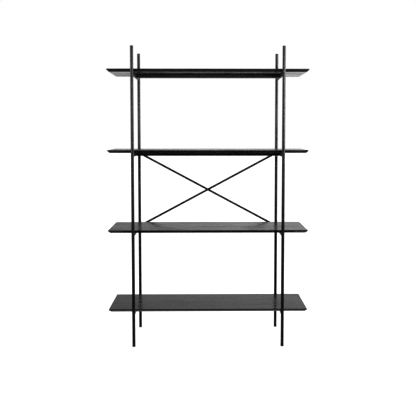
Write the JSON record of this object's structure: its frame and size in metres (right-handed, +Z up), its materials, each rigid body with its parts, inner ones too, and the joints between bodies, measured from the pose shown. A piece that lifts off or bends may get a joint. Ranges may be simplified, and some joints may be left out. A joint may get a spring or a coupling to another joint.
{
  "type": "bookcase",
  "caption": "Open bookcase with wide bevelled boards clamped between round uprights, adjustable in height, with a flat-bar cross at the back.",
  "frame": {"origin": "on the floor, under the middle of the whole bookcase", "axes": "+X to the right, +Y to the back, where the cross is, +Z up"},
  "size_m": [1.2, 0.361, 1.8],
  "materials": {
    "powder_coated_steel": "fine-textured black powder coat, satin",
    "black_stained_oak": "open-pore oak stained black, matt lacquer",
    "black_plastic": "matt black moulded plastic",
    "black_zinc_steel": "black zinc plated, slightly glossy"
  },
  "bodies": {
    "stand": {"upright_front_left": "powder_coated_steel", "upright_front_right": "powder_coated_steel", "upright_rear_left": "powder_coated_steel", "upright_rear_right": "powder_coated_steel", "foot_front_left": "black_plastic", "foot_front_right": "black_plastic", "foot_rear_left": "black_plastic", "foot_rear_right": "black_plastic", "cap_front_left": "black_plastic", "cap_front_right": "black_plastic", "cap_rear_left": "black_plastic", "cap_rear_right": "black_plastic", "brace_bar_falling": "powder_coated_steel", "brace_bar_rising": "powder_coated_steel", "brace_screw_top_left": "black_zinc_steel", "brace_screw_top_right": "black_zinc_steel", "brace_screw_bottom_left": "black_zinc_steel", "brace_screw_bottom_right": "black_zinc_steel", "brace_spacer_top_right": "black_zinc_steel", "brace_spacer_bottom_left": "black_zinc_steel", "brace_bolt": "black_zinc_steel", "brace_nut": "black_zinc_steel"},
    "bottom_shelf": {"bottom_board": "black_stained_oak", "bottom_rail": "powder_coated_steel", "bottom_rung_left": "powder_coated_steel", "bottom_rung_right": "powder_coated_steel", "bottom_clamp_front_left": "black_zinc_steel", "bottom_clamp_front_right": "black_zinc_steel", "bottom_clamp_rear_left": "black_zinc_steel", "bottom_clamp_rear_right": "black_zinc_steel"},
    "lower_shelf": {"lower_board": "black_stained_oak", "lower_rail": "powder_coated_steel", "lower_rung_left": "powder_coated_steel", "lower_rung_right": "powder_coated_steel", "lower_clamp_front_left": "black_zinc_steel", "lower_clamp_front_right": "black_zinc_steel", "lower_clamp_rear_left": "black_zinc_steel", "lower_clamp_rear_right": "black_zinc_steel"},
    "upper_shelf": {"upper_board": "black_stained_oak", "upper_rail": "powder_coated_steel", "upper_rung_left": "powder_coated_steel", "upper_rung_right": "powder_coated_steel", "upper_clamp_front_left": "black_zinc_steel", "upper_clamp_front_right": "black_zinc_steel", "upper_clamp_rear_left": "black_zinc_steel", "upper_clamp_rear_right": "black_zinc_steel"},
    "top_shelf": {"top_board": "black_stained_oak", "top_rail": "powder_coated_steel", "top_rung_left": "powder_coated_steel", "top_rung_right": "powder_coated_steel", "top_clamp_front_left": "black_zinc_steel", "top_clamp_front_right": "black_zinc_steel", "top_clamp_rear_left": "black_zinc_steel", "top_clamp_rear_right": "black_zinc_steel"}
  },
  "joints": [
    {"name": "bottom_shelf_height", "type": "slide", "parent": "stand", "child": "bottom_shelf", "axis": [0, 0, 1], "range_m": [-0.12, 0.16]},
    {"name": "lower_shelf_height", "type": "slide", "parent": "stand", "child": "lower_shelf", "axis": [0, 0, 1], "range_m": [-0.16, 0.16]},
    {"name": "upper_shelf_height", "type": "slide", "parent": "stand", "child": "upper_shelf", "axis": [0, 0, 1], "range_m": [-0.16, 0.16]},
    {"name": "top_shelf_height", "type": "slide", "parent": "stand", "child": "top_shelf", "axis": [0, 0, 1], "range_m": [-0.16, 0.08]}
  ]
}
